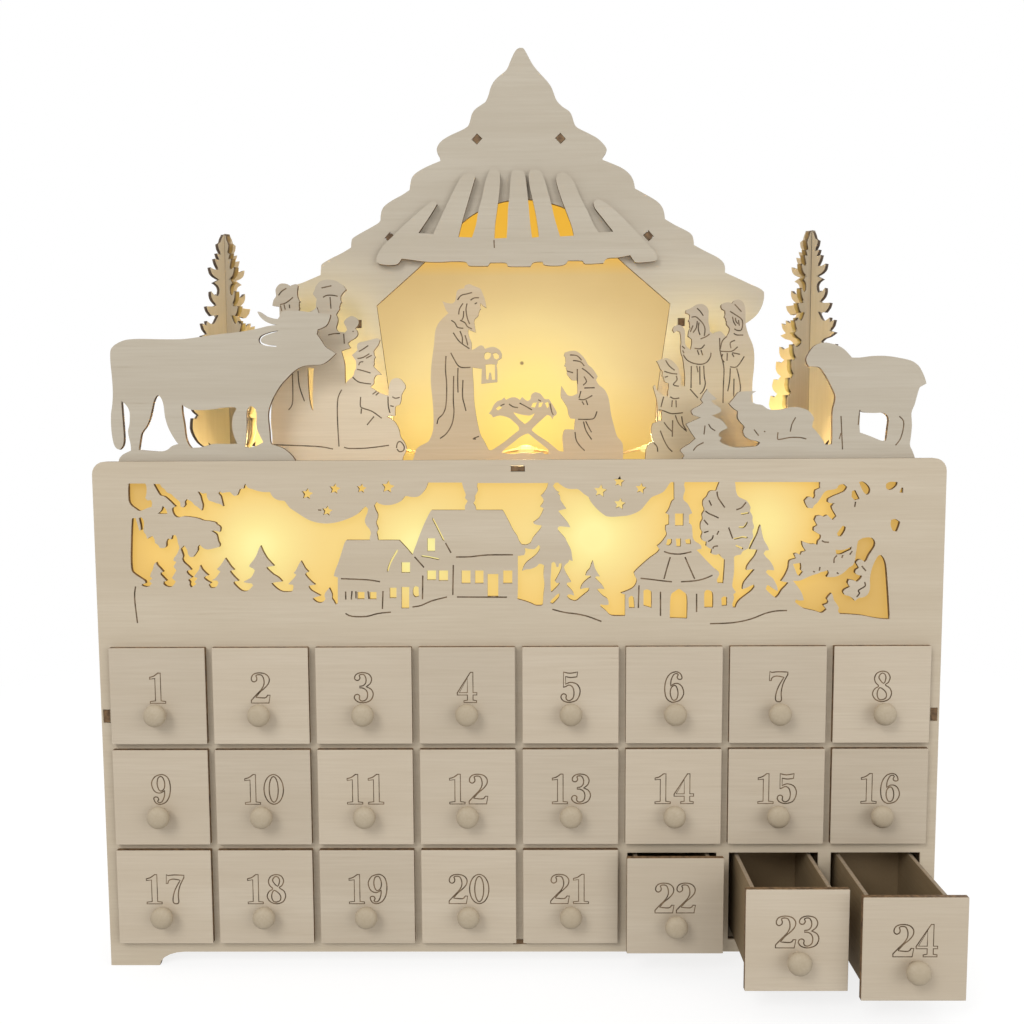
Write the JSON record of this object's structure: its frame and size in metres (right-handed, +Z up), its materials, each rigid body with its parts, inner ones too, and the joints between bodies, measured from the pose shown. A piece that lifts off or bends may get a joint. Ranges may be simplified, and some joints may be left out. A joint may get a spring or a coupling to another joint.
{
  "type": "light-up advent calendar",
  "caption": "Plywood advent calendar cabinet with sliding drawers, a lit village window and a stable scene on top.",
  "frame": {"origin": "middle of the bounding box at rest, on the surface the cabinet stands on", "axes": "+X to the right seen from the front, +Y from the front to the back, +Z up"},
  "size_m": [0.4, 0.1614, 0.443],
  "materials": {
    "plywood": "raw laser-cut birch",
    "diffuser_film": "frosted",
    "light_string": "clear lamps on a lead",
    "battery_box": "moulded"
  },
  "bodies": {
    "cabinet": {"back_panel": "plywood", "battery_box": "battery_box", "bottom_board": "plywood", "canopy": "plywood", "cow_plate": "plywood", "deck": "plywood", "deck_lights": "light_string", "divider_1": "plywood", "divider_2": "plywood", "divider_3": "plywood", "divider_4": "plywood", "divider_5": "plywood", "divider_6": "plywood", "divider_7": "plywood", "family_plate": "plywood", "front_panel": "plywood", "kings_plate": "plywood", "light_box_floor": "plywood", "light_diffuser": "diffuser_film", "lower_shelf": "plywood", "roof_board_left": "plywood", "roof_board_right": "plywood", "sheep_plate": "plywood", "shepherds_plate": "plywood", "side_panel_left": "plywood", "side_panel_right": "plywood", "stable_back": "plywood", "stable_gable": "plywood", "stable_wall_left": "plywood", "stable_wall_right": "plywood", "tree_left": "plywood", "tree_right": "plywood", "upper_shelf": "plywood", "village_lights": "light_string"},
    "drawer_01": {"drawer_01": "plywood"},
    "drawer_02": {"drawer_02": "plywood"},
    "drawer_03": {"drawer_03": "plywood"},
    "drawer_04": {"drawer_04": "plywood"},
    "drawer_05": {"drawer_05": "plywood"},
    "drawer_06": {"drawer_06": "plywood"},
    "drawer_07": {"drawer_07": "plywood"},
    "drawer_08": {"drawer_08": "plywood"},
    "drawer_09": {"drawer_09": "plywood"},
    "drawer_10": {"drawer_10": "plywood"},
    "drawer_11": {"drawer_11": "plywood"},
    "drawer_12": {"drawer_12": "plywood"},
    "drawer_13": {"drawer_13": "plywood"},
    "drawer_14": {"drawer_14": "plywood"},
    "drawer_15": {"drawer_15": "plywood"},
    "drawer_16": {"drawer_16": "plywood"},
    "drawer_17": {"drawer_17": "plywood"},
    "drawer_18": {"drawer_18": "plywood"},
    "drawer_19": {"drawer_19": "plywood"},
    "drawer_20": {"drawer_20": "plywood"},
    "drawer_21": {"drawer_21": "plywood"},
    "drawer_22": {"drawer_22": "plywood"},
    "drawer_23": {"drawer_23": "plywood"},
    "drawer_24": {"drawer_24": "plywood"},
    "battery_cover": {"battery_cover": "battery_box"},
    "switch_slider": {"switch_slider": "battery_box"}
  },
  "joints": [
    {"name": "drawer_01_slide", "type": "slide", "parent": "cabinet", "child": "drawer_01", "axis": [0, -1, 0], "range_m": [0, 0.06]},
    {"name": "drawer_02_slide", "type": "slide", "parent": "cabinet", "child": "drawer_02", "axis": [0, -1, 0], "range_m": [0, 0.06]},
    {"name": "drawer_03_slide", "type": "slide", "parent": "cabinet", "child": "drawer_03", "axis": [0, -1, 0], "range_m": [0, 0.06]},
    {"name": "drawer_04_slide", "type": "slide", "parent": "cabinet", "child": "drawer_04", "axis": [0, -1, 0], "range_m": [0, 0.06]},
    {"name": "drawer_05_slide", "type": "slide", "parent": "cabinet", "child": "drawer_05", "axis": [0, -1, 0], "range_m": [0, 0.06]},
    {"name": "drawer_06_slide", "type": "slide", "parent": "cabinet", "child": "drawer_06", "axis": [0, -1, 0], "range_m": [0, 0.06]},
    {"name": "drawer_07_slide", "type": "slide", "parent": "cabinet", "child": "drawer_07", "axis": [0, -1, 0], "range_m": [0, 0.06]},
    {"name": "drawer_08_slide", "type": "slide", "parent": "cabinet", "child": "drawer_08", "axis": [0, -1, 0], "range_m": [0, 0.06]},
    {"name": "drawer_09_slide", "type": "slide", "parent": "cabinet", "child": "drawer_09", "axis": [0, -1, 0], "range_m": [0, 0.06]},
    {"name": "drawer_10_slide", "type": "slide", "parent": "cabinet", "child": "drawer_10", "axis": [0, -1, 0], "range_m": [0, 0.06]},
    {"name": "drawer_11_slide", "type": "slide", "parent": "cabinet", "child": "drawer_11", "axis": [0, -1, 0], "range_m": [0, 0.06]},
    {"name": "drawer_12_slide", "type": "slide", "parent": "cabinet", "child": "drawer_12", "axis": [0, -1, 0], "range_m": [0, 0.06]},
    {"name": "drawer_13_slide", "type": "slide", "parent": "cabinet", "child": "drawer_13", "axis": [0, -1, 0], "range_m": [0, 0.06]},
    {"name": "drawer_14_slide", "type": "slide", "parent": "cabinet", "child": "drawer_14", "axis": [0, -1, 0], "range_m": [0, 0.06]},
    {"name": "drawer_15_slide", "type": "slide", "parent": "cabinet", "child": "drawer_15", "axis": [0, -1, 0], "range_m": [0, 0.06]},
    {"name": "drawer_16_slide", "type": "slide", "parent": "cabinet", "child": "drawer_16", "axis": [0, -1, 0], "range_m": [0, 0.06]},
    {"name": "drawer_17_slide", "type": "slide", "parent": "cabinet", "child": "drawer_17", "axis": [0, -1, 0], "range_m": [0, 0.06]},
    {"name": "drawer_18_slide", "type": "slide", "parent": "cabinet", "child": "drawer_18", "axis": [0, -1, 0], "range_m": [0, 0.06]},
    {"name": "drawer_19_slide", "type": "slide", "parent": "cabinet", "child": "drawer_19", "axis": [0, -1, 0], "range_m": [0, 0.06]},
    {"name": "drawer_20_slide", "type": "slide", "parent": "cabinet", "child": "drawer_20", "axis": [0, -1, 0], "range_m": [0, 0.06]},
    {"name": "drawer_21_slide", "type": "slide", "parent": "cabinet", "child": "drawer_21", "axis": [0, -1, 0], "range_m": [0, 0.06]},
    {"name": "drawer_22_slide", "type": "slide", "parent": "cabinet", "child": "drawer_22", "axis": [0, -1, 0], "range_m": [-0.01, 0.05]},
    {"name": "drawer_23_slide", "type": "slide", "parent": "cabinet", "child": "drawer_23", "axis": [0, -1, 0], "range_m": [-0.044, 0.016]},
    {"name": "drawer_24_slide", "type": "slide", "parent": "cabinet", "child": "drawer_24", "axis": [0, -1, 0], "range_m": [-0.052, 0.008]},
    {"name": "battery_cover_slide", "type": "slide", "parent": "cabinet", "child": "battery_cover", "axis": [1, 0, 0], "range_m": [0, 0.035]},
    {"name": "switch_slide", "type": "slide", "parent": "cabinet", "child": "switch_slider", "axis": [1, 0, 0], "range_m": [0, 0.003]}
  ]
}
